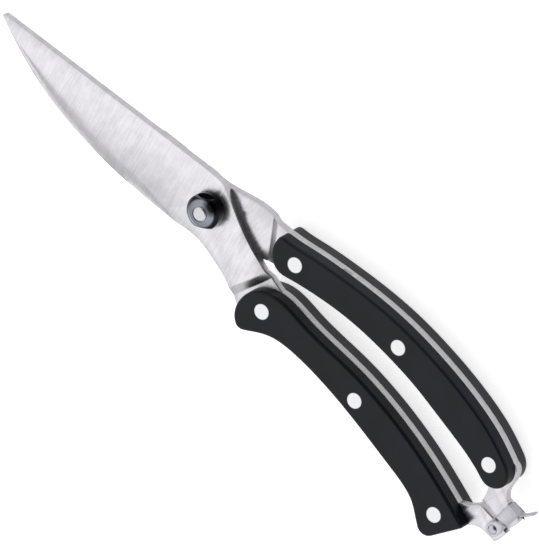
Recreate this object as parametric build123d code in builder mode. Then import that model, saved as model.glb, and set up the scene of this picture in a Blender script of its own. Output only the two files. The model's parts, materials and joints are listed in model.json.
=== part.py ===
"""Poultry shears: two crossed steel halves on a domed pivot nut, black riveted grips,
a spring hidden between the halves, and a swinging clasp that holds the handles shut.

Modelled with the pivot at the origin, the tip towards +X, the front half's handle on +Y
and the mating plane of the blades at Z = 0. At the end everything is moved, so that the
shears lie flat on Z = 0 with the origin under the middle of their bounding box.
"""

import math
import os

from build123d import *

# Overall sizes, in mm
blade_length = 105.5  # pivot to tip
handle_length = 122.8  # nose to heel of the longer, rear grip
rear_nose = 27.3  # pivot to the nose of the rear grip
front_nose_setback = 4.1  # the front grip starts this much further back
front_heel_setback = 1.1  # and ends this much short of the rear one

# Steel halves
stock = 3.4  # thickness of the forged plate
tip_stock = 2.8  # thickness left at the tip by the distal taper
taper_start = 5.0  # the taper begins this far ahead of the pivot
blade_gap = 0.04  # running gap between the two blades
joggle_ramp = 3.0  # length of the offset bend behind the pivot
joggle_setback = 2.1  # bend to grip nose
joggle_round = 1.5  # rounding of the offset bend
front_joggle_turn = -20.8  # degrees, how the two bends lie across the tangs
rear_joggle_turn = 32.1
edge_land = 0.3  # thickness left at the cutting edges
grind_width = 6.4  # full width of the ground bevels
tooth_pitch = 1.25  # fine teeth along the rear blade's edge
tooth_depth = 0.3
notch_radius = 5.0  # bone notch in the rear blade
notch_x = 17.0  # pivot to the middle of the bone notch

# Grips
scale_thickness = 5.65
scale_round = 1.1  # rounding of the outer rim of each scale
rivet_head_radius = 3.1
rivet_head_height = 1.5
rivet_sleeve_radius = 2.2
rivet_pin_radius = 1.5
rivet_recess = 0.05  # heads sit this far under the scale's face
rivet_clearance = 0.04
rivet_end_gap = 0.4

# Pivot
bolt_radius = 3.0
bolt_neck_radius = 2.65
bolt_head_height = 2.6
bolt_slot_width = 1.4
bolt_slot_depth = 1.0
pivot_clearance = 0.05
nut_radius = 6.83
nut_flange = 1.8  # height of the round flange under the flats
nut_wall = 4.1  # height of the nut's upright wall
nut_height = 6.2  # height of the nut's dome
nut_across_flats = 11.2
nut_flat_turn = 36.6  # degrees from X
nut_ring_width = 0.4  # groove between the nut and the bolt's end
nut_ring_depth = 0.6
bolt_proud = 0.25  # the bolt's end stands this much above the dome

# Spring between the blades
spring_wire = 1.1
spring_inner = 5.3  # radius of the innermost coil
spring_step = 0.62  # growth at each half turn
spring_half_turns = 4
spring_leg = 2.0  # how deep each leg reaches into its blade
pocket_depth = 0.9
pocket_clearance = 0.25

# Clasp
pin_radius = 1.75
pin_proud = 0.6  # the pin's dome stands this much above the clasp
pin_clearance = 0.05
clasp_sheet = 0.8  # thickness of the clasp's sheet
clasp_boss = 0.4  # extra thickness around the pin
clasp_gap = 0.15  # sheet to plate, on all inner sides
clasp_width = 5.5
clasp_reach = 12.45  # pin to the outer face of the clasp's web
clasp_bend = 1.0  # outer radius of the clasp's bends
clasp_lean = 1.1  # the arms lean back by this much over their length
clasp_step = 0.85  # width of the slope at the foot of that boss
tab_length = 4.0
tab_bend = 2.6  # radius of the curl at the tab's root
tab_turn = 59.0  # degrees
plate_gap = 1.9  # between the two end plates that the clasp holds together

# Derived values
half_gap = blade_gap / 2
blade_top = half_gap + stock
half_stock = stock / 2
scale_top = half_stock + scale_thickness
front_nose = rear_nose + front_nose_setback
front_heel = rear_nose + handle_length - front_heel_setback
front_length = front_heel - front_nose
pin_x = -front_heel - 7.9
pin_y = 3.8
web_outer_y = pin_y - clasp_reach
web_inner_y = web_outer_y + clasp_sheet
catch_radius = clasp_reach - clasp_sheet - clasp_gap + 0.05
plate_a_y = 1.2  # lower edge of the front half's end plate
plate_b_y = plate_a_y - plate_gap
sleeve_hole = rivet_sleeve_radius + rivet_clearance
spring_outer = spring_inner + spring_half_turns * spring_step
hub_radius = spring_inner - spring_wire / 2 - pocket_clearance
pocket_radius = spring_outer + spring_wire / 2 + pocket_clearance
spring_hole = spring_wire / 2 + 0.1
far = 400.0  # longer than anything in the model


def on_front(share, y, ahead=0.0):
    """A point on the front grip: a share of its length back from the nose, then ahead."""
    return (-(front_nose + share * front_length) + ahead, y)


def on_rear(share, y, ahead=0.0):
    """The same on the rear grip."""
    return (-(rear_nose + share * handle_length) + ahead, y)


def neck(share, y):
    """A point on a tang, between the pivot (0) and the grip's nose (1)."""
    return (-share * front_nose, y)


def on_blade(share, y):
    """A point on a blade, between the pivot (0) and the tip (1)."""
    return (share * blade_length, y)


def face_height(x):
    """Height of a blade's outer face above the mating plane."""
    run = (x - taper_start) / (blade_length - taper_start)
    return blade_top - (stock - tip_stock) * max(0.0, run)


def rear_edge_y(x):
    """The rear blade's straight cutting edge."""
    return rear_edge_start[1] + (x - rear_edge_start[0]) * rear_edge_slope


rear_edge_start = (8.0, -9.9)
rear_edge_end = on_blade(0.98, 8.1)
rear_edge_slope = (rear_edge_end[1] - rear_edge_start[1]) / (rear_edge_end[0] - rear_edge_start[0])


def grind_section(x, inner_y, width, upward):
    """Triangle over a bevel at one station: from the inner line down to the edge land."""
    face = face_height(x)
    slope = math.atan2(face - edge_land, width)
    run, drop = math.cos(slope), math.sin(slope)
    side = 1 if upward else -1
    start = (inner_y - side * 1.5 * run, side * (face + 1.5 * drop))
    end = (inner_y + side * 14 * run, side * (face - 14 * drop))
    with BuildSketch(Plane.YZ.offset(x)) as section:
        with BuildLine():
            Polyline(start, end, (end[0], start[1]), close=True)
        make_face()
    return section


def joggle_profile(turn, reach, side):
    """Side view of a half: blade on one side of the mating plane, tang in the middle."""
    n = (math.cos(math.radians(turn)), math.sin(math.radians(turn)), 0)
    across = Plane(origin=(0, 0, 0), x_dir=n, z_dir=(n[1], -n[0], 0))
    with BuildSketch(across) as profile:
        with BuildLine():
            Polyline(
                (far, side * half_gap),
                (far, side * blade_top),
                (-reach, side * blade_top),
                (-reach - joggle_ramp, side * half_stock),
                (-far, side * half_stock),
                (-far, -side * half_stock),
                (-reach - joggle_ramp, -side * half_stock),
                (-reach, side * half_gap),
                close=True,
            )
        make_face()
        bends = profile.vertices().filter_by(lambda corner: abs(corner.X) < far / 2)
        fillet(bends, joggle_round)
    return profile


# Outlines of the two grips, shared by the tangs and their scales
with BuildSketch() as front_grip:
    with BuildLine():
        horn = on_front(1, 27.3, 9.1)
        heel = on_front(1, 10.0, -0.25)
        horn_end = on_front(1, 24.2, 13.4)
        rim = Spline(
            heel,
            on_front(0.8, 3.8),
            on_front(0.6, 0.2),
            on_front(0.4, -0.3),
            on_front(0.2, 1.2),
            on_front(0, 2.0, -9.6),
            on_front(0, 4.0, -5.3),
            on_front(0, 7.9, -1.5),
            on_front(0, 14.8),
            on_front(0, 20.1, -1.7),
            on_front(0, 23.2, -6.2),
            on_front(0, 21.0, -10.1),
            on_front(0.15, 15.7),
            on_front(0.25, 13.0),
            on_front(0.45, 12.8),
            on_front(0.7, 15.7),
            on_front(1, 18.6, 21.4),
            horn_end,
            tangents=[(26, -7), (horn[0] - horn_end[0], horn[1] - horn_end[1])],
        )
        Polyline(rim @ 1, horn, heel)
    make_face()
    fillet(front_grip.vertices().sort_by_distance(horn)[0], 4.3)
    fillet(front_grip.vertices().sort_by_distance(heel)[0], 1.2)

with BuildSketch() as rear_grip:
    with BuildLine():
        Spline(
            on_rear(0, -16.6),
            on_rear(0, -14.6),
            on_rear(0, -12.0, -0.6),
            on_rear(0, -9.3, -2.3),
            on_rear(0, -7.0, -5.3),
            on_rear(0, -6.4, -8.8),
            on_rear(0.1, -7.4),
            on_rear(0.2, -11.4),
            on_rear(0.3, -14.3),
            on_rear(0.4, -15.9),
            on_rear(0.5, -16.5),
            on_rear(0.6, -16.3),
            on_rear(0.7, -15.1),
            on_rear(0.8, -13.7),
            on_rear(1, -10.8, 10.0),
            on_rear(1, -9.9, 5.6),
            on_rear(1, -11.6, 1.9),
            on_rear(1, -15.0),
            on_rear(1, -18.9, 0.7),
            on_rear(1, -21.6, 3.1),
            on_rear(1, -23.2, 6.4),
            on_rear(0.9, -25.4),
            on_rear(0.8, -28.3),
            on_rear(0.7, -29.8),
            on_rear(0.6, -30.4),
            on_rear(0.5, -30.3),
            on_rear(0.4, -29.3),
            on_rear(0.3, -27.3),
            on_rear(0.2, -24.6),
            on_rear(0.1, -21.3),
            on_rear(0, -18.6, -2.9),
            on_rear(0, -18.2, -1.3),
            on_rear(0, -17.95, -0.8),
            on_rear(0, -17.55, -0.35),
            on_rear(0, -17.1, -0.08),
            periodic=True,
        )
    make_face()

front_rivets = [on_front(0, 10.6, -9.2), on_front(0.482, 7.1), on_front(1, 15.4, 11.1)]
rear_rivets = [on_rear(0, -14.0, -11.2), on_rear(0.488, -22.7), on_rear(1, -17.1, 9.3)]

# Plan view of the front half: blade, tang, grip and the end plate that carries the clasp
with BuildSketch() as front_plan:
    with BuildLine():
        back = Spline(
            on_front(0, 21.5, -4.6),
            neck(0.97, 20.0),
            neck(0.77, 16.3),
            neck(0.45, 13.4),
            neck(0.13, 12.15),
            on_blade(0.1, 15.65),
            on_blade(0.25, 19.5),
            on_blade(0.5, 21.3),
            on_blade(0.7, 19.9),
            on_blade(0.87, 15.6),
            (blade_length - 0.6, 11.0),
        )
        point = ThreePointArc(back @ 1, (blade_length, 9.2), (blade_length - 1.0, 7.9))
        spine = Line(point @ 1, (11.0, -11.4))
        shoulder = TangentArc(spine @ 1, (1.8, -12.5), tangent=spine % 1)
        belly = Spline(
            shoulder @ 1,
            neck(0.29, -7.2),
            neck(0.6, -3.0),
            neck(0.92, -0.2),
            on_front(0, 1.5, -4.6),
            on_front(0, 2.6, -12.0),
        )
        Line(belly @ 1, back @ 0)
    make_face()
    add(front_grip.sketch)
    with BuildLine():
        corner = (pin_x - 3.5, pin_y + 3.75)
        top = Spline(
            corner,
            (pin_x, pin_y + 3.8),
            (pin_x + 3.8, pin_y + 4.2),
            (pin_x + 6, pin_y + 5.2),
            on_front(1, 11.2, 0.2),
        )
        inside = Line(top @ 1, on_front(1, 10.5, 9.0))
        slant = Spline(
            inside @ 1,
            on_front(1, 7.0, 7.6),
            on_front(1, 5.2, 5.0),
            on_front(1, 2.8, 3.1),
            on_front(1, plate_a_y, 2.0),
        )
        Polyline(slant @ 1, (pin_x - 4.4, plate_a_y), corner)
    make_face()
    fillet(front_plan.vertices().sort_by_distance(corner)[0], 0.8)

# Plan view of the rear half: blade, tang, grip and the plate that the clasp hooks over
tooth_count = int((rear_edge_end[0] - notch_x - notch_radius - 14) / tooth_pitch)
first_tooth = rear_edge_end[0] - 3 - tooth_count * tooth_pitch
teeth = []
for tooth in range(tooth_count):
    valley_x = first_tooth + (tooth + 0.5) * tooth_pitch
    peak_x = first_tooth + (tooth + 1) * tooth_pitch
    teeth += [(valley_x, rear_edge_y(valley_x) + tooth_depth), (peak_x, rear_edge_y(peak_x))]

with BuildSketch() as rear_plan:
    with BuildLine():
        spine = Spline(
            on_rear(0, -8.5, -12.0),
            on_rear(0, -3.9, -3.9),
            neck(0.86, -0.7),
            neck(0.64, 3.8),
            neck(0.38, 7.8),
            neck(0.1, 10.6),
            on_blade(0.07, 12.3),
            on_blade(0.25, 16.5),
            on_blade(0.5, 19.0),
            on_blade(0.73, 17.3),
            on_blade(0.9, 12.6),
            on_blade(0.99, 9.4),
        )
        point = Line(spine @ 1, rear_edge_end)
        notch_ends = [(x, rear_edge_y(x)) for x in (notch_x + notch_radius, notch_x - notch_radius)]
        Polyline(point @ 1, *reversed(teeth), (first_tooth, rear_edge_y(first_tooth)), notch_ends[0])
        RadiusArc(*notch_ends, -notch_radius * 1.02)
        Line(notch_ends[1], rear_edge_start)
        Spline(
            rear_edge_start,
            (3.0, -10.4),
            neck(0.1, -12.4),
            neck(0.26, -14.4),
            neck(0.45, -16.3),
            neck(0.65, -17.0),
            on_rear(0, -17.9, 0.1),
            on_rear(0.05, -19.0),
        )
        Line(on_rear(0.05, -19.0), spine @ 0)
    make_face()
    add(rear_grip.sketch)
    with BuildLine():
        catch_left = pin_x - 5.0
        seat_right = pin_x + 2.0
        right_side = Spline(on_rear(1, -10.5, 7.0), on_rear(1, -6.5, 4.8), on_rear(1, plate_b_y, 3.3))
        crown = Polyline(right_side @ 1, (catch_left + 0.9, plate_b_y))
        catch_side = Spline(
            crown @ 1,
            (catch_left + 0.3, plate_b_y - 2.3),
            (catch_left, pin_y - math.sqrt(catch_radius**2 - 5.0**2)),
        )
        catch = RadiusArc(catch_side @ 1, (pin_x, pin_y - catch_radius), -catch_radius)
        seat = Polyline(
            catch @ 1,
            (seat_right, pin_y - catch_radius),
            (seat_right, web_outer_y + 0.05),
            (seat_right + 1.2, web_outer_y),
        )
        Spline(
            seat @ 1,
            on_rear(1, -9.9, -2.2),
            on_rear(1, -13.0, -1.0),
            on_rear(1, -17.0, -0.7),
            on_rear(1, -20.6, 0.7),
            on_rear(1, -22.0, 4.5),
        )
        Line(on_rear(1, -22.0, 4.5), right_side @ 0)
    make_face()

# Spring pocket between the blades: a ring on each side of the mating plane
with BuildSketch() as pocket_ring:
    Circle(pocket_radius)
    Circle(hub_radius, mode=Mode.SUBTRACT)

spring_ends = [(spring_inner, 0), ((-1) ** spring_half_turns * spring_outer, 0)]

# Front half
with BuildPart() as front_blade:
    with BuildSketch(Plane.XY.offset(-half_stock)):
        add(front_plan.sketch)
    extrude(amount=blade_top + half_stock)
    profile = joggle_profile(front_joggle_turn, front_nose - joggle_setback, 1)
    extrude(profile.sketch, amount=far, both=True, mode=Mode.INTERSECT)
    with BuildSketch(Plane.XZ):
        with BuildLine():
            Polyline(
                (taper_start, blade_top),
                (blade_length + 5, face_height(blade_length + 5)),
                (blade_length + 5, blade_top + 1),
                (taper_start, blade_top + 1),
                close=True,
            )
        make_face()
    extrude(amount=far, both=True, mode=Mode.SUBTRACT)
    sections = []
    for share, inner_y, width in (
        (-0.06, 12.4, grind_width),
        (0.12, 13.4, grind_width),
        (0.25, 13.05, grind_width),
        (0.5, 15.0, 0.98 * grind_width),
        (0.7, 14.45, 0.85 * grind_width),
        (0.85, 12.8, 0.56 * grind_width),
        (1.0, 9.0, 0.28 * grind_width),
        (1.04, 7.9, 0.22 * grind_width),
    ):
        sections.append(grind_section(share * blade_length, inner_y, width, True).sketch)
    loft(sections, mode=Mode.SUBTRACT)
    with BuildSketch():
        Circle(bolt_radius + pivot_clearance)
    extrude(amount=far, both=True, mode=Mode.SUBTRACT)
    with BuildSketch():
        add(pocket_ring.sketch)
    extrude(amount=pocket_depth, mode=Mode.SUBTRACT)
    with BuildSketch():
        with Locations(spring_ends[0]):
            Circle(spring_hole)
    extrude(amount=spring_leg + 0.2, mode=Mode.SUBTRACT)
    with BuildSketch():
        with Locations(*front_rivets):
            Circle(sleeve_hole)
        with Locations((pin_x, pin_y)):
            Circle(pin_radius + pin_clearance / 2)
    extrude(amount=far, both=True, mode=Mode.SUBTRACT)

# Rear half
with BuildPart() as rear_blade:
    with BuildSketch(Plane.XY.offset(-blade_top)):
        add(rear_plan.sketch)
    extrude(amount=blade_top + half_stock)
    profile = joggle_profile(rear_joggle_turn, rear_nose - joggle_setback, -1)
    extrude(profile.sketch, amount=far, both=True, mode=Mode.INTERSECT)
    with BuildSketch(Plane.XZ):
        with BuildLine():
            Polyline(
                (taper_start, -blade_top),
                (blade_length + 5, -face_height(blade_length + 5)),
                (blade_length + 5, -blade_top - 1),
                (taper_start, -blade_top - 1),
                close=True,
            )
        make_face()
    extrude(amount=far, both=True, mode=Mode.SUBTRACT)
    sections = []
    for x, shift in ((first_tooth - 2, -grind_width), (first_tooth + 3, 0), (blade_length + 3, 0)):
        inner_y = rear_edge_y(x) + grind_width + shift
        sections.append(grind_section(x, inner_y, grind_width, False).sketch)
    loft(sections, ruled=True, mode=Mode.SUBTRACT)
    with BuildSketch():
        Circle(bolt_radius + pivot_clearance)
    extrude(amount=far, both=True, mode=Mode.SUBTRACT)
    with BuildSketch():
        add(pocket_ring.sketch)
    extrude(amount=-pocket_depth, mode=Mode.SUBTRACT)
    with BuildSketch():
        with Locations(spring_ends[1]):
            Circle(spring_hole)
    extrude(amount=-spring_leg - 0.2, mode=Mode.SUBTRACT)
    with BuildSketch():
        with Locations(*rear_rivets):
            Circle(sleeve_hole)
    extrude(amount=far, both=True, mode=Mode.SUBTRACT)


def grip_scale(outline, rivets, side):
    """One moulded scale: flat against the tang, rounded outside, sunk for the rivet heads."""
    with BuildPart() as scale:
        with BuildSketch(Plane.XY.offset(side * half_stock)):
            add(outline.sketch)
        extrude(amount=side * scale_thickness)
        outer_face = scale.faces().sort_by(Axis.Z)[-1 if side > 0 else 0]
        fillet(outer_face.edges(), scale_round)
        with BuildSketch(Plane.XY.offset(side * half_stock)):
            with Locations(*rivets):
                Circle(sleeve_hole)
        extrude(amount=side * scale_thickness, mode=Mode.SUBTRACT)
        with BuildSketch(Plane.XY.offset(side * scale_top)):
            with Locations(*rivets):
                Circle(rivet_head_radius + rivet_clearance)
        extrude(amount=-side * (rivet_head_height + rivet_recess), mode=Mode.SUBTRACT)
    return scale


def rivet_sleeve(place):
    """Lower half of a two-piece rivet: a head and a tube that reaches up through the tang."""
    head_face = -(scale_top - rivet_recess)
    tube_end = scale_top - rivet_recess - rivet_head_height - rivet_end_gap
    with BuildPart() as sleeve:
        with BuildSketch(Plane.XY.offset(head_face)):
            with Locations(place):
                Circle(rivet_head_radius)
        extrude(amount=rivet_head_height)
        with BuildSketch(Plane.XY.offset(head_face)):
            with Locations(place):
                Circle(rivet_sleeve_radius)
        extrude(amount=tube_end - head_face)
        with BuildSketch(Plane.XY.offset(head_face + rivet_head_height)):
            with Locations(place):
                Circle(rivet_pin_radius + rivet_clearance)
        extrude(amount=tube_end - head_face, mode=Mode.SUBTRACT)
    return sleeve


def rivet_pin(place):
    """Upper half of a two-piece rivet: a head and a pin that is driven into the tube."""
    head_face = scale_top - rivet_recess
    pin_end = -(scale_top - rivet_recess - rivet_head_height - rivet_end_gap)
    with BuildPart() as pin:
        with BuildSketch(Plane.XY.offset(head_face)):
            with Locations(place):
                Circle(rivet_head_radius)
        extrude(amount=-rivet_head_height)
        with BuildSketch(Plane.XY.offset(head_face)):
            with Locations(place):
                Circle(rivet_pin_radius)
        extrude(amount=pin_end - head_face)
    return pin


# Pivot bolt: slotted head under the rear blade, end showing in the nut
bolt_end = blade_top + nut_height + bolt_proud
with BuildPart() as pivot_bolt:
    with BuildSketch(Plane.XZ):
        with BuildLine():
            Polyline(
                (0, -blade_top - bolt_head_height),
                (nut_radius - 2.2, -blade_top - bolt_head_height),
                (nut_radius, -blade_top - bolt_head_height + 1.3),
                (nut_radius, -blade_top),
                (bolt_radius, -blade_top),
                (bolt_radius, blade_top - 0.1),
                (bolt_neck_radius, blade_top - 0.1),
                (bolt_neck_radius, bolt_end - 0.25),
                (bolt_neck_radius - 0.45, bolt_end),
                (0, bolt_end),
                close=True,
            )
        make_face()
    revolve(axis=Axis.Z)
    with BuildSketch(Plane.XY.offset(-blade_top - bolt_head_height)):
        Rectangle(3 * nut_radius, bolt_slot_width, rotation=nut_flat_turn)
    extrude(amount=bolt_slot_depth, mode=Mode.SUBTRACT)

# Pivot nut: round flange, two spanner flats, domed top with a ring groove
nut_bore = bolt_neck_radius + pivot_clearance
with BuildPart() as pivot_nut:
    with BuildSketch(Plane.XZ):
        with BuildLine():
            wall = Polyline(
                (nut_bore + nut_ring_width, blade_top + nut_height),
                (nut_bore + nut_ring_width, blade_top + nut_height - nut_ring_depth),
                (nut_bore, blade_top + nut_height - nut_ring_depth),
                (nut_bore, blade_top),
                (nut_radius - 0.2, blade_top),
                (nut_radius, blade_top + 0.2),
                (nut_radius, blade_top + nut_wall - 0.3),
            )
            dome_mid = (nut_radius - 1.7, blade_top + nut_wall + 1.2)
            ThreePointArc(wall @ 1, dome_mid, wall @ 0)
        make_face()
    revolve(axis=Axis.Z)
    with BuildSketch(Plane.XY.offset(blade_top + nut_flange)):
        with Locations(Location((0, 0, 0), (0, 0, nut_flat_turn))):
            with GridLocations(0, nut_across_flats + nut_radius, 1, 2):
                Rectangle(4 * nut_radius, nut_radius)
    extrude(amount=nut_height, mode=Mode.SUBTRACT)

# Spring: a flat coil with one leg up into the front blade and one down into the rear blade
with BuildPart() as torsion_spring:
    with BuildLine():
        for half_turn in range(spring_half_turns):
            side = (-1) ** half_turn
            start_radius = spring_inner + half_turn * spring_step
            end_radius = start_radius + spring_step
            arc_radius = (start_radius + end_radius) / 2
            middle_x = side * (start_radius - end_radius) / 2
            ThreePointArc(
                (side * start_radius, 0),
                (middle_x, side * arc_radius),
                (-side * end_radius, 0),
            )
    with BuildSketch(Plane.XZ):
        with Locations((spring_inner, 0)):
            Circle(spring_wire / 2)
    sweep()
    for (x, y), reach in zip(spring_ends, (spring_leg, -spring_leg)):
        with Locations((x, y, 0)):
            Sphere(spring_wire / 2)
        with BuildSketch():
            with Locations((x, y)):
                Circle(spring_wire / 2)
        extrude(amount=reach)

# Clasp: a U of sheet steel around both end plates, with a thumb tab on its web
ear_inner = half_stock + clasp_gap
ear_outer = ear_inner + clasp_sheet
boss_top = ear_outer + clasp_boss
arm_half = clasp_width / 2
arm_foot = pin_x - clasp_lean
arm_length = pin_y + arm_half - web_outer_y
web_middle_y = (web_outer_y + web_inner_y) / 2


def boss_outline(height, sag):
    """The thicker end of a clasp arm: round at the pin, its foot hollowed by the sag."""
    foot_y = pin_y - 4.9
    shift = clasp_lean * (pin_y - foot_y) / (pin_y - web_outer_y + 1)
    with BuildSketch(Plane.XY.offset(height)) as outline:
        with BuildLine():
            foot = ThreePointArc(
                (pin_x - arm_half - shift, foot_y - 0.5),
                (pin_x - shift, foot_y + 0.02 + sag),
                (pin_x + arm_half - shift, foot_y + 0.5),
            )
            Line(foot @ 1, (pin_x + arm_half, pin_y))
            ThreePointArc((pin_x + arm_half, pin_y), (pin_x, pin_y + arm_half), (pin_x - arm_half, pin_y))
            Line((pin_x - arm_half, pin_y), foot @ 0)
        make_face()
    return outline


with BuildPart() as clasp:
    with BuildSketch(Plane.YZ):
        with Locations((web_outer_y + arm_length / 2, 0)):
            Rectangle(arm_length, 2 * ear_outer)
        fillet(vertices().group_by(Axis.Y)[0], clasp_bend)
        with Locations((web_inner_y + arm_length / 2, 0)):
            Rectangle(arm_length, 2 * ear_inner, mode=Mode.SUBTRACT)
    extrude(amount=-far)
    with BuildSketch(Plane.XY.offset(-ear_outer)):
        with BuildLine():
            foot = Polyline(
                (pin_x - arm_half, pin_y),
                (arm_foot - arm_half, web_outer_y - 1),
                (arm_foot + arm_half, web_outer_y - 1),
                (pin_x + arm_half, pin_y),
            )
            ThreePointArc(foot @ 1, (pin_x, pin_y + arm_half), foot @ 0)
        make_face()
    extrude(amount=2 * ear_outer, mode=Mode.INTERSECT)
    for side in (1, -1):
        low = boss_outline(side * ear_outer, 0)
        high = boss_outline(side * boss_top, clasp_step)
        loft([low.sketch, high.sketch], ruled=True)
    with BuildSketch(Plane.XY.offset(-half_stock)):
        with BuildLine():
            root = Line((pin_x - 1.0, web_middle_y), (pin_x - 3.1, web_middle_y))
            curl = JernArc(root @ 1, root % 1, tab_bend, tab_turn)
            Line(curl @ 1, curl @ 1 + tab_length * (curl % 1))
        trace(line_width=clasp_sheet)
    extrude(amount=stock)
    with BuildSketch(Plane.XY.offset(-boss_top)):
        with Locations((pin_x, pin_y)):
            Circle(pin_radius + pin_clearance)
    extrude(amount=2 * boss_top, mode=Mode.SUBTRACT)

# Clasp pin, held in the front end plate, with a low dome at both ends
flank_top = boss_top + 0.1
pin_top = boss_top + pin_proud
with BuildPart() as clasp_pin:
    with BuildSketch(Plane(origin=(pin_x, pin_y, 0), x_dir=(1, 0, 0), z_dir=(0, -1, 0))):
        with BuildLine():
            TangentArc((0, -pin_top), (pin_radius, -flank_top), tangent=(1, 0))
            Line((pin_radius, -flank_top), (pin_radius, flank_top))
            TangentArc((0, pin_top), (pin_radius, flank_top), tangent=(1, 0))
            Line((0, pin_top), (0, -pin_top))
        make_face()
    revolve(axis=Axis((pin_x, pin_y, 0), (0, 0, 1)))

pieces = {
    "front_blade": front_blade,
    "rear_blade": rear_blade,
    "front_grip_top_scale": grip_scale(front_grip, front_rivets, 1),
    "front_grip_bottom_scale": grip_scale(front_grip, front_rivets, -1),
    "rear_grip_top_scale": grip_scale(rear_grip, rear_rivets, 1),
    "rear_grip_bottom_scale": grip_scale(rear_grip, rear_rivets, -1),
    "pivot_bolt": pivot_bolt,
    "pivot_nut": pivot_nut,
    "torsion_spring": torsion_spring,
    "clasp": clasp,
    "clasp_pin": clasp_pin,
}
for grip, rivets in (("front", front_rivets), ("rear", rear_rivets)):
    for position, place in zip(("nose", "middle", "heel"), rivets):
        pieces[f"{grip}_{position}_rivet_sleeve"] = rivet_sleeve(place)
        pieces[f"{grip}_{position}_rivet_pin"] = rivet_pin(place)

# Move everything so that the shears stand on Z = 0 under the middle of their box
box = Compound([piece.part for piece in pieces.values()]).bounding_box()
shift = (-(box.min.X + box.max.X) / 2, -(box.min.Y + box.max.Y) / 2, -box.min.Z)
print("size", box.size)
print("pivot", shift)
print("clasp pin", (pin_x + shift[0], pin_y + shift[1], shift[2]))

os.makedirs("parts", exist_ok=True)
for name, piece in pieces.items():
    piece.part.position = shift
    piece.part.label = name
    export_step(piece.part, f"parts/{name}.step")
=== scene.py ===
"""Looks for the poultry shears: cross-brushed blades, satin black grips, ground rivet heads,
a polished pivot nut and a satin clasp, on a plain pale floor."""

import json
import math

import bpy
from bpy.props import FloatProperty, FloatVectorProperty, PointerProperty
from mathutils import Matrix, Vector


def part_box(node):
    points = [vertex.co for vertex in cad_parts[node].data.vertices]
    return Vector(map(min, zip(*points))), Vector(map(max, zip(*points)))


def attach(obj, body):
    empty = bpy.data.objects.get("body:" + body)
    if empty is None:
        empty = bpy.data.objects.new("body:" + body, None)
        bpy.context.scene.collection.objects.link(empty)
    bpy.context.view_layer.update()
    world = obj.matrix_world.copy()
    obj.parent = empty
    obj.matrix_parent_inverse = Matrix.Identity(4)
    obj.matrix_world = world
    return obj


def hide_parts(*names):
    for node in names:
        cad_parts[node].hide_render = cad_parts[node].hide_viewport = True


bl_info = {
    "name": "Poultry shears",
    "version": (1, 0, 0),
    "blender": (4, 5, 0),
    "location": "View3D > Sidebar > Shears",
    "description": "Finishes a pair of locking poultry shears and sets a plain studio around it",
    "category": "Object",
}

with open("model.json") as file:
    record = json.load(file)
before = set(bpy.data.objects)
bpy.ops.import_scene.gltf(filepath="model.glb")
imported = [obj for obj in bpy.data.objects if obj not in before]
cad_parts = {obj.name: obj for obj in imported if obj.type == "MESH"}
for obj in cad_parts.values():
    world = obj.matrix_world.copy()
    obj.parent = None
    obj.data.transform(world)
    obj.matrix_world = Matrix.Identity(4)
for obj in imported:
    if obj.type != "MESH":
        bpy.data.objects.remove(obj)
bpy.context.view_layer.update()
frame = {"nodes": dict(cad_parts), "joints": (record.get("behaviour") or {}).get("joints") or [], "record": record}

JOINTS = {joint["name"]: joint for joint in frame["joints"]}
PIVOT = Vector(JOINTS["blade_opening"]["pos_m"])
CLASP_PIN = Vector(JOINTS["latch_swing"]["pos_m"])

FRONT_HALF = frame["record"]["behaviour"]["bodies"]["front_half"]
REAR_HALF = frame["record"]["behaviour"]["bodies"]["rear_half"]
SCALES = [name for name in FRONT_HALF + REAR_HALF if name.endswith("_scale")]
RIVETS = [name for name in FRONT_HALF + REAR_HALF if "_rivet_" in name]

# What the camera sees, in metres across its longer side, and its sensor in millimetres
VIEW_SPAN = 0.2
SENSOR_WIDTH = 36.0
VIEW_RIGHT = Vector((-0.6687, -0.5481, -0.5022))
VIEW_UP = Vector((0.7261, -0.6266, -0.2830))
VIEW_TOWARDS = Vector((-0.1596, -0.5539, 0.8171))
VIEW_TARGET = Vector((-0.03221, 0.0027, -0.00106))  # from the pivot

# The floor lies a little below the shears, so that the two never share a plane
FLOOR_SIZE = 6.0
FLOOR_DROP = 0.0003
FLOOR_GLOW = 0.65

# Painted shade on the steel's upright walls and ground slopes, as shares of the flat face's tone
WALL_PAINTED_SHADE = 0.70
SLOPE_PAINTED_SHADE = 0.74

# How strongly the upright walls of the upper and lower scales, and all flat faces, shine
UPPER_WALL_GLOSS = 0.10
LOWER_WALL_GLOSS = 0.30
FACE_GLOSS = 0.32

# Zones of a turned piece: distance from its centre in metres, and colour
TURNED_REACH = 0.008
RIVET_HEAD = (0.92, 0.92, 0.95)
# The rivet head's light face, then a dark ring of painted shade at its rim
RIVET_ZONES_WITH_RIM_SHADE = ((0.0028, RIVET_HEAD), (0.00306, (0.12, 0.12, 0.14)))
# The chrome pivot nut is painted dark: its grey zones are painted dark reflection, and its near-black outer ring
# is painted shade at the rim
NUT_DARK_REFLECTION_COLOUR = (0.15, 0.155, 0.18)
NUT_ZONES_WITH_PAINTED_REFLECTION = (
    (0.0021, (0.70, 0.72, 0.77)),
    (0.0023, (0.20, 0.21, 0.24)),
    (0.0026, (0.30, 0.32, 0.37)),
    (0.0050, (0.30, 0.32, 0.37)),
    (0.0056, (0.02, 0.02, 0.026)),
)


# ---------------------------------------------------------------- sizes and colours


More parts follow.
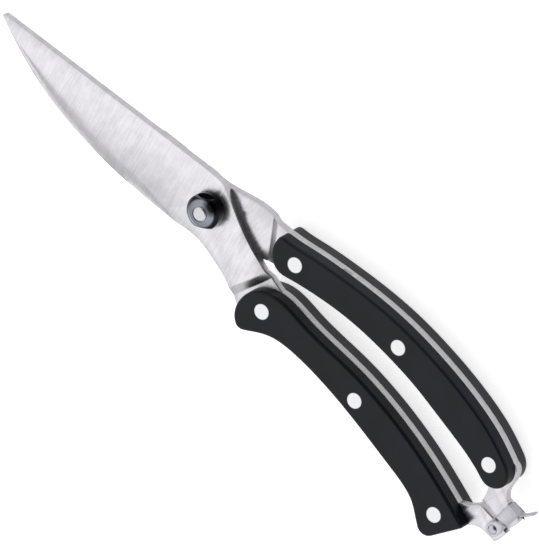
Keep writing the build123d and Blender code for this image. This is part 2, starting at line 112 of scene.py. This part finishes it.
class SteelSettings(bpy.types.PropertyGroup):
    """Finish of the blades, the clasp and the rivet heads."""

    colour: FloatVectorProperty(
        name="Steel colour",
        description="Base colour of the brushed steel",
        subtype="COLOR",
        size=3,
        min=0,
        max=1,
        default=(0.86, 0.845, 0.885),
    )
    grain: FloatProperty(
        name="Grain spacing",
        description="Distance between the brush lines",
        subtype="DISTANCE",
        default=0.00014,
    )
    edge: FloatProperty(
        name="Edge rounding",
        description="Radius of the eased edges of the steel",
        subtype="DISTANCE",
        default=0.00022,
    )


class GripSettings(bpy.types.PropertyGroup):
    """Finish of the moulded grips."""

    colour: FloatVectorProperty(
        name="Grip colour",
        description="Base colour of the moulded plastic",
        subtype="COLOR",
        size=3,
        min=0,
        max=1,
        default=(0.0030, 0.0036, 0.0085),
    )
    texture: FloatProperty(
        name="Texture size",
        description="Size of the fine moulded texture",
        subtype="DISTANCE",
        default=0.00022,
    )


class StudioSettings(bpy.types.PropertyGroup):
    """Floor and light."""

    floor_colour: FloatVectorProperty(
        name="Floor colour",
        description="Colour of the plain floor",
        subtype="COLOR",
        size=3,
        min=0,
        max=1,
        default=(0.95, 0.95, 0.95),
    )
    sky: FloatProperty(
        name="Sky brightness",
        description="Brightness of the light tent overhead",
        subtype="FACTOR",
        default=1.0,
    )
    distance: FloatProperty(
        name="Camera distance",
        description="Distance from the camera to the shears",
        subtype="DISTANCE",
        default=8.0,
    )


# ---------------------------------------------------------------- node groups


def new_group(name, inputs, outputs):
    """An empty shader node group with the named sockets."""
    group = bpy.data.node_groups.new(name, "ShaderNodeTree")
    for label, kind, value in inputs:
        socket = group.interface.new_socket(label, in_out="INPUT", socket_type=kind)
        if value is not None:
            socket.default_value = value
    for label, kind in outputs:
        group.interface.new_socket(label, in_out="OUTPUT", socket_type=kind)
    return group, group.nodes.new("NodeGroupInput"), group.nodes.new("NodeGroupOutput")


def add_node(tree, kind, settings=None, **inputs):
    """A node with its properties set, and its inputs set or linked."""
    node = tree.nodes.new(kind)
    for key, value in (settings or {}).items():
        setattr(node, key, value)
    for key, value in inputs.items():
        slot = node.inputs[int(key[1:])] if key[0] == "i" and key[1:].isdigit() else node.inputs[key]
        if isinstance(value, bpy.types.NodeSocket):
            tree.links.new(value, slot)
        else:
            slot.default_value = value
    return node


def brushed_grain_group():
    """Fine parallel brush lines with slow cloudy changes of tone."""
    group, start, end = new_group(
        "brushed grain",
        [
            ("Vector", "NodeSocketVector", None),
            ("Spacing", "NodeSocketFloat", 0.00015),
            ("Length", "NodeSocketFloat", 0.004),
        ],
        [("Height", "NodeSocketFloat"), ("Tone", "NodeSocketFloat")],
    )
    across = add_node(group, "ShaderNodeMath", {"operation": "DIVIDE"}, i0=1.0, i1=start.outputs["Spacing"])
    along = add_node(group, "ShaderNodeMath", {"operation": "DIVIDE"}, i0=1.0, i1=start.outputs["Length"])
    scale = add_node(
        group, "ShaderNodeCombineXYZ", X=across.outputs[0], Y=along.outputs[0], Z=along.outputs[0]
    )
    stretched = add_node(
        group,
        "ShaderNodeVectorMath",
        {"operation": "MULTIPLY"},
        i0=start.outputs["Vector"],
        i1=scale.outputs[0],
    )
    lines = add_node(group, "ShaderNodeTexNoise", Vector=stretched.outputs[0], Scale=1.0, Detail=3.0)
    clouds = add_node(group, "ShaderNodeTexNoise", Vector=start.outputs["Vector"], Scale=210.0, Detail=4.0)
    streaks = add_node(
        group,
        "ShaderNodeVectorMath",
        {"operation": "MULTIPLY"},
        i0=start.outputs["Vector"],
        i1=(1400.0, 110.0, 110.0),
    )
    wide = add_node(group, "ShaderNodeTexNoise", Vector=streaks.outputs[0], Scale=1.0, Detail=2.0)
    tone = add_node(group, "ShaderNodeMath", {"operation": "ADD"}, i0=clouds.outputs[0], i1=wide.outputs[0])
    half = add_node(group, "ShaderNodeMath", {"operation": "MULTIPLY"}, i0=tone.outputs[0], i1=0.5)
    group.links.new(lines.outputs[0], end.inputs["Height"])
    group.links.new(half.outputs[0], end.inputs["Tone"])
    return group


def moulded_texture_group():
    """The fine even texture of a moulded grip, with a few rubbed, smoother places."""
    group, start, end = new_group(
        "moulded texture",
        [("Vector", "NodeSocketVector", None), ("Size", "NodeSocketFloat", 0.0002)],
        [("Height", "NodeSocketFloat"), ("Rubbed", "NodeSocketFloat")],
    )
    frequency = add_node(group, "ShaderNodeMath", {"operation": "DIVIDE"}, i0=1.0, i1=start.outputs["Size"])
    fine = add_node(
        group,
        "ShaderNodeTexNoise",
        Vector=start.outputs["Vector"],
        Scale=frequency.outputs[0],
        Detail=2.0,
    )
    patches = add_node(group, "ShaderNodeTexNoise", Vector=start.outputs["Vector"], Scale=90.0, Detail=3.0)
    group.links.new(fine.outputs[0], end.inputs["Height"])
    group.links.new(patches.outputs[0], end.inputs["Rubbed"])
    return group


def turned_rings_group():
    """Faint concentric lathe or grinding rings about a centre."""
    group, start, end = new_group(
        "turned rings",
        [("Vector", "NodeSocketVector", None), ("Pitch", "NodeSocketFloat", 0.0001)],
        [("Height", "NodeSocketFloat")],
    )
    flat = add_node(
        group,
        "ShaderNodeVectorMath",
        {"operation": "MULTIPLY"},
        i0=start.outputs["Vector"],
        i1=(1.0, 1.0, 0.0),
    )
    radius = add_node(group, "ShaderNodeVectorMath", {"operation": "LENGTH"}, i0=flat.outputs[0])
    turns = add_node(
        group,
        "ShaderNodeMath",
        {"operation": "DIVIDE"},
        i0=radius.outputs["Value"],
        i1=start.outputs["Pitch"],
    )
    line = add_node(group, "ShaderNodeCombineXYZ", X=turns.outputs[0])
    rings = add_node(group, "ShaderNodeTexNoise", Vector=line.outputs[0], Scale=1.0, Detail=2.0)
    group.links.new(rings.outputs[0], end.inputs["Height"])
    return group


def group_named(name, maker):
    return bpy.data.node_groups.get(name) or maker()


# ---------------------------------------------------------------- materials


def new_material(name, **shader_values):
    """A material with one Principled shader whose plain values are set here."""
    material = bpy.data.materials.new(name)
    material.use_nodes = True
    tree = material.node_tree
    shader = tree.nodes["Principled BSDF"]
    for key, value in shader_values.items():
        shader.inputs[key.replace("_", " ")].default_value = value
    return material, tree, shader


def centred_coordinates(tree, centre, turn=0.0):
    """Object coordinates measured from a centre, turned about Z."""
    place = add_node(tree, "ShaderNodeTexCoord")
    mapping = add_node(tree, "ShaderNodeMapping", {"vector_type": "TEXTURE"}, Vector=place.outputs["Object"])
    mapping.inputs["Location"].default_value = centre
    mapping.inputs["Rotation"].default_value = (0, 0, turn)
    return mapping.outputs[0]


def ranged(tree, value, low, high, to_low, to_high):
    node = add_node(tree, "ShaderNodeMapRange")
    tree.links.new(value, node.inputs["Value"])
    for key, number in (("From Min", low), ("From Max", high), ("To Min", to_low), ("To Max", to_high)):
        node.inputs[key].default_value = number
    return node.outputs[0]


def tinted(tree, factor, dark, light):
    node = add_node(tree, "ShaderNodeMix", {"data_type": "RGBA"})
    tree.links.new(factor, node.inputs["Factor"])
    node.inputs["A"].default_value = (*dark, 1)
    node.inputs["B"].default_value = (*light, 1)
    return node.outputs["Result"]


def brushed_steel(name, colour, centre, turn, spacing, roughness=0.3, depth=0.35, spread=0.10):
    """Steel brushed in one direction, which turn gives as an angle about Z."""
    material, tree, shader = new_material(name, Metallic=1.0)
    vector = centred_coordinates(tree, centre, turn)
    grain_group = group_named("brushed grain", brushed_grain_group)
    grain = add_node(tree, "ShaderNodeGroup", {"node_tree": grain_group})
    tree.links.new(vector, grain.inputs["Vector"])
    grain.inputs["Spacing"].default_value = spacing
    dark = [channel * (1 - spread) for channel in colour]
    light = [min(1.0, channel * (1 + 0.6 * spread)) for channel in colour]
    tone = ranged(tree, grain.outputs["Tone"], 0.38, 0.62, 0.0, 1.0)
    # Painted shade: the colour is multiplied down on the upright walls and the ground slopes.
    colour_socket = paint_shade_on_walls(tree, tinted(tree, tone, dark, light), WALL_PAINTED_SHADE, SLOPE_PAINTED_SHADE)
    tree.links.new(colour_socket, shader.inputs["Base Color"])
    rough = ranged(tree, grain.outputs["Height"], 0.3, 0.7, roughness - 0.06, roughness + 0.06)
    tree.links.new(rough, shader.inputs["Roughness"])
    bump = add_node(tree, "ShaderNodeBump", Strength=depth, Distance=0.00002)
    tree.links.new(grain.outputs["Height"], bump.inputs["Height"])
    tree.links.new(bump.outputs[0], shader.inputs["Normal"])
    return material


def paint_shade_on_walls(tree, colour_socket, wall, slope):
    """Multiplies a colour down on the upright walls and on the ground slopes of a flat plate, as painted shade."""
    place = add_node(tree, "ShaderNodeTexCoord")
    split = add_node(tree, "ShaderNodeSeparateXYZ", Vector=place.outputs["Normal"])
    upright = add_node(tree, "ShaderNodeMath", {"operation": "ABSOLUTE"}, i0=split.outputs["Z"])
    wall_painted_shade = ranged(tree, upright.outputs[0], 0.35, 0.8, wall, 1.0)
    slope_painted_shade = ranged(tree, upright.outputs[0], 0.965, 0.999, slope, 1.0)
    level = add_node(tree, "ShaderNodeMath", {"operation": "MULTIPLY"}, i0=wall_painted_shade, i1=slope_painted_shade)
    product = add_node(
        tree, "ShaderNodeVectorMath", {"operation": "SCALE"}, i0=colour_socket, Scale=level.outputs[0]
    )
    return product.outputs[0]


def zoned_colour(tree, vector, zones):
    """A colour set by the distance from the centre."""
    flat = add_node(tree, "ShaderNodeVectorMath", {"operation": "MULTIPLY"}, i0=vector, i1=(1.0, 1.0, 0.0))
    radius = add_node(tree, "ShaderNodeVectorMath", {"operation": "LENGTH"}, i0=flat.outputs[0])
    reach = ranged(tree, radius.outputs["Value"], 0.0, TURNED_REACH, 0.0, 1.0)
    ramp = add_node(tree, "ShaderNodeValToRGB", Fac=reach)
    elements = ramp.color_ramp.elements
    while len(elements) < len(zones):
        elements.new(0.5)
    for element, (distance, colour) in zip(elements, zones):
        element.position = distance / TURNED_REACH
        element.color = (*colour, 1)
    return ramp.outputs["Color"]


def turned_steel(name, colour, centre, pitch, roughness, depth=0.3, zones=None):
    """Steel with faint rings about a centre, as on a ground rivet head or a turned nut."""
    material, tree, shader = new_material(name, Metallic=1.0)
    vector = centred_coordinates(tree, centre)
    rings = add_node(tree, "ShaderNodeGroup", {"node_tree": group_named("turned rings", turned_rings_group)})
    tree.links.new(vector, rings.inputs["Vector"])
    rings.inputs["Pitch"].default_value = pitch
    clouds = add_node(tree, "ShaderNodeTexNoise", Vector=vector, Scale=900.0, Detail=3.0)
    if zones:
        base = zoned_colour(tree, vector, zones)
    else:
        tone = ranged(tree, clouds.outputs[0], 0.35, 0.65, 0.0, 1.0)
        base = tinted(tree, tone, [0.9 * channel for channel in colour], colour)
    tree.links.new(base, shader.inputs["Base Color"])
    rough = ranged(tree, clouds.outputs[0], 0.3, 0.7, roughness * 0.8, roughness * 1.25)
    tree.links.new(rough, shader.inputs["Roughness"])
    bump = add_node(tree, "ShaderNodeBump", Strength=depth, Distance=0.00002)
    tree.links.new(rings.outputs["Height"], bump.inputs["Height"])
    tree.links.new(bump.outputs[0], shader.inputs["Normal"])
    return material


def moulded_plastic(name, colour, texture, wall_gloss):
    """Satin black plastic with a fine moulded texture, whose walls shine less than its faces."""
    material, tree, shader = new_material(name)
    place = add_node(tree, "ShaderNodeTexCoord")
    split = add_node(tree, "ShaderNodeSeparateXYZ", Vector=place.outputs["Normal"])
    upright = add_node(tree, "ShaderNodeMath", {"operation": "ABSOLUTE"}, i0=split.outputs["Z"])
    gloss = ranged(tree, upright.outputs[0], 0.1, 0.9, wall_gloss, FACE_GLOSS)
    tree.links.new(gloss, shader.inputs["Specular IOR Level"])
    texture_group = group_named("moulded texture", moulded_texture_group)
    grain = add_node(tree, "ShaderNodeGroup", {"node_tree": texture_group})
    tree.links.new(place.outputs["Object"], grain.inputs["Vector"])
    grain.inputs["Size"].default_value = texture
    tone = ranged(tree, grain.outputs["Rubbed"], 0.35, 0.65, 0.0, 1.0)
    light = [1.5 * channel for channel in colour]
    tree.links.new(tinted(tree, tone, colour, light), shader.inputs["Base Color"])
    tree.links.new(ranged(tree, grain.outputs["Rubbed"], 0.3, 0.7, 0.44, 0.36), shader.inputs["Roughness"])
    bump = add_node(tree, "ShaderNodeBump", Strength=0.25, Distance=0.00003)
    tree.links.new(grain.outputs["Height"], bump.inputs["Height"])
    tree.links.new(bump.outputs[0], shader.inputs["Normal"])
    return material


def finish_node(name, material):
    """Gives every material slot of a CAD node the same finish."""
    node = frame["nodes"][name]
    node.data.materials.clear()
    node.data.materials.append(material)


def eased_copy(name, material, body, width):
    """Replaces a sharp CAD node with a copy whose edges are eased."""
    node = frame["nodes"][name]
    mesh = node.data.copy()
    mesh.transform(node.matrix_world)
    piece = bpy.data.objects.new(f"{name}_eased", mesh)
    bpy.context.collection.objects.link(piece)
    bpy.ops.object.select_all(action="DESELECT")
    piece.select_set(True)
    bpy.context.view_layer.objects.active = piece
    bpy.ops.object.mode_set(mode="EDIT")
    bpy.ops.mesh.select_all(action="SELECT")
    bpy.ops.mesh.remove_doubles(threshold=1e-6)
    bpy.ops.mesh.dissolve_limited(angle_limit=math.radians(0.4))
    bpy.ops.object.mode_set(mode="OBJECT")
    bevel = piece.modifiers.new("eased edges", "BEVEL")
    bevel.width = width
    bevel.segments = 2
    bevel.limit_method = "ANGLE"
    bevel.angle_limit = math.radians(60)
    bevel.use_clamp_overlap = False
    bpy.ops.object.modifier_apply(modifier=bevel.name)
    bpy.ops.object.shade_smooth_by_angle(angle=math.radians(30))
    piece.data.materials.clear()
    piece.data.materials.append(material)
    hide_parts(name)
    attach(piece, body)
    return piece


# ---------------------------------------------------------------- operators


class SHEARS_OT_blades(bpy.types.Operator):
    """Brush the blades across their length"""

    bl_idname = "shears.blades"
    bl_label = "Blades"

    def execute(self, context):
        steel = context.scene.shears_steel
        for name, turn in (("front_blade", 0.18), ("rear_blade", -0.1)):
            material = brushed_steel(f"{name} steel", steel.colour, PIVOT, turn, steel.grain)
            finish_node(name, material)
            body = "front_half" if name in FRONT_HALF else "rear_half"
            eased_copy(name, material, body, steel.edge * 0.6)
        return {"FINISHED"}


class SHEARS_OT_grips(bpy.types.Operator):
    """Give the scales their moulded plastic"""

    bl_idname = "shears.grips"
    bl_label = "Grips"

    def execute(self, context):
        grip = context.scene.shears_grip
        upper = moulded_plastic("upper grip", grip.colour, grip.texture, UPPER_WALL_GLOSS)
        lower = moulded_plastic("lower grip", grip.colour, grip.texture, LOWER_WALL_GLOSS)
        for name in SCALES:
            finish_node(name, upper if "_top_" in name else lower)
        return {"FINISHED"}


class SHEARS_OT_rivets(bpy.types.Operator):
    """Grind the rivet heads"""

    bl_idname = "shears.rivets"
    bl_label = "Rivets"

    def execute(self, context):
        steel = context.scene.shears_steel
        for name in RIVETS:
            low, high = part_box(name)
            centre = (low + high) / 2
            pitch = 2 * steel.grain
            # The zones paint a dark ring of shade at the rim of each head.
            material = turned_steel(f"{name} steel", RIVET_HEAD, centre, pitch, 0.3, zones=RIVET_ZONES_WITH_RIM_SHADE)
            finish_node(name, material)
        return {"FINISHED"}


class SHEARS_OT_pivot(bpy.types.Operator):
    """Polish the pivot nut and bolt and finish the spring between the blades"""

    bl_idname = "shears.pivot"
    bl_label = "Pivot"

    def execute(self, context):
        # The nut's zones paint dark reflection on the chrome and shade at its rim.
        nut = turned_steel("pivot nut chrome", NUT_DARK_REFLECTION_COLOUR, PIVOT, 0.0003, 0.12, depth=0.1, zones=NUT_ZONES_WITH_PAINTED_REFLECTION)
        bolt = turned_steel("pivot bolt steel", (0.74, 0.75, 0.78), PIVOT, 0.0003, 0.25, depth=0.2)
        wire = brushed_steel("spring wire", (0.5, 0.5, 0.52), PIVOT, 0.0, 0.0003)
        finish_node("pivot_nut", nut)
        finish_node("pivot_bolt", bolt)
        finish_node("torsion_spring", wire)
        return {"FINISHED"}


class SHEARS_OT_clasp(bpy.types.Operator):
    """Finish the clasp and its pin"""

    bl_idname = "shears.clasp"
    bl_label = "Clasp"

    def execute(self, context):
        satin = brushed_steel(
            "clasp satin steel", (0.70, 0.70, 0.75), CLASP_PIN, 1.5, 0.0002, roughness=0.33, spread=0.06
        )
        finish_node("clasp", satin)
        eased_copy("clasp", satin, "latch", context.scene.shears_steel.edge * 0.5)
        finish_node("clasp_pin", turned_steel("clasp pin steel", (0.62, 0.63, 0.68), CLASP_PIN, 0.0003, 0.14))
        return {"FINISHED"}


def light_tent(world, brightness):
    """A soft tent of light overhead, darker where the tent is open towards the viewer."""
    world.use_nodes = True
    tree = world.node_tree
    tree.nodes.clear()
    place = add_node(tree, "ShaderNodeTexCoord")
    facing = add_node(
        tree,
        "ShaderNodeVectorMath",
        {"operation": "DOT_PRODUCT"},
        i0=place.outputs["Generated"],
        i1=tuple(VIEW_TOWARDS),
    )
    opening = ranged(tree, facing.outputs["Value"], 0.62, 0.93, 1.0, 0.03)
    split = add_node(tree, "ShaderNodeSeparateXYZ", Vector=place.outputs["Generated"])
    height = ranged(tree, split.outputs["Z"], -0.1, 0.75, 0.52, 1.0)
    level = add_node(tree, "ShaderNodeMath", {"operation": "MULTIPLY"}, i0=opening, i1=height)
    background = add_node(tree, "ShaderNodeBackground", Color=level.outputs[0], Strength=brightness)
    output = add_node(tree, "ShaderNodeOutputWorld")
    tree.links.new(background.outputs[0], output.inputs["Surface"])


class SHEARS_OT_stage(bpy.types.Operator):
    """Set the floor, the light and the camera"""

    bl_idname = "shears.stage"
    bl_label = "Studio"

    def execute(self, context):
        studio = context.scene.shears_studio
        bpy.ops.object.select_all(action="DESELECT")
        bpy.ops.mesh.primitive_plane_add(size=FLOOR_SIZE, location=(0, 0, -FLOOR_DROP))
        floor = context.object
        floor.name = "floor"
        material, tree, shader = new_material("pale floor", Roughness=0.9)
        shader.inputs["Base Color"].default_value = (*studio.floor_colour, 1)
        shader.inputs["Emission Color"].default_value = (1, 1, 1, 1)
        shader.inputs["Emission Strength"].default_value = FLOOR_GLOW
        floor.data.materials.append(material)

        world = bpy.data.worlds.new("light tent")
        context.scene.world = world
        light_tent(world, studio.sky)
        context.scene.view_settings.view_transform = "Standard"

        camera = bpy.data.objects.new("camera", bpy.data.cameras.new("camera"))
        context.collection.objects.link(camera)
        target = PIVOT + VIEW_TARGET
        camera.matrix_world = Matrix.Translation(target + VIEW_TOWARDS.normalized() * studio.distance) @ (
            view_rotation().to_4x4()
        )
        camera.data.sensor_width = SENSOR_WIDTH
        camera.data.lens = SENSOR_WIDTH * studio.distance / VIEW_SPAN
        context.scene.camera = camera
        return {"FINISHED"}


def view_rotation():
    """The camera's rotation, squared up from the three view directions."""
    towards = VIEW_TOWARDS.normalized()
    right = (VIEW_RIGHT - VIEW_RIGHT.dot(towards) * towards).normalized()
    up = towards.cross(right)
    return Matrix((right, up, towards)).transposed()


class SHEARS_PT_panel(bpy.types.Panel):
    """Lists the operators"""

    bl_label = "Poultry shears"
    bl_idname = "SHEARS_PT_panel"
    bl_space_type = "VIEW_3D"
    bl_region_type = "UI"
    bl_category = "Shears"

    def draw(self, context):
        for operator in OPERATORS:
            self.layout.operator(operator.bl_idname)
        for settings, keys in (
            (context.scene.shears_steel, ("colour", "grain", "edge")),
            (context.scene.shears_grip, ("colour", "texture")),
            (context.scene.shears_studio, ("floor_colour", "sky", "distance")),
        ):
            for key in keys:
                self.layout.prop(settings, key)


OPERATORS = (
    SHEARS_OT_stage,
    SHEARS_OT_blades,
    SHEARS_OT_grips,
    SHEARS_OT_rivets,
    SHEARS_OT_pivot,
    SHEARS_OT_clasp,
)
SETTINGS = {"shears_steel": SteelSettings, "shears_grip": GripSettings, "shears_studio": StudioSettings}


def register():
    for group in SETTINGS.values():
        bpy.utils.register_class(group)
    for operator in OPERATORS:
        bpy.utils.register_class(operator)
    bpy.utils.register_class(SHEARS_PT_panel)
    for name, group in SETTINGS.items():
        setattr(bpy.types.Scene, name, PointerProperty(type=group))


def unregister():
    for name in SETTINGS:
        delattr(bpy.types.Scene, name)
    bpy.utils.unregister_class(SHEARS_PT_panel)
    for operator in reversed(OPERATORS):
        bpy.utils.unregister_class(operator)
    for group in SETTINGS.values():
        bpy.utils.unregister_class(group)


def main():
    """Runs every operator in order."""
    register()
    bpy.ops.shears.stage()
    bpy.ops.shears.blades()
    bpy.ops.shears.grips()
    bpy.ops.shears.rivets()
    bpy.ops.shears.pivot()
    bpy.ops.shears.clasp()


if __name__ == "__main__":
    main()
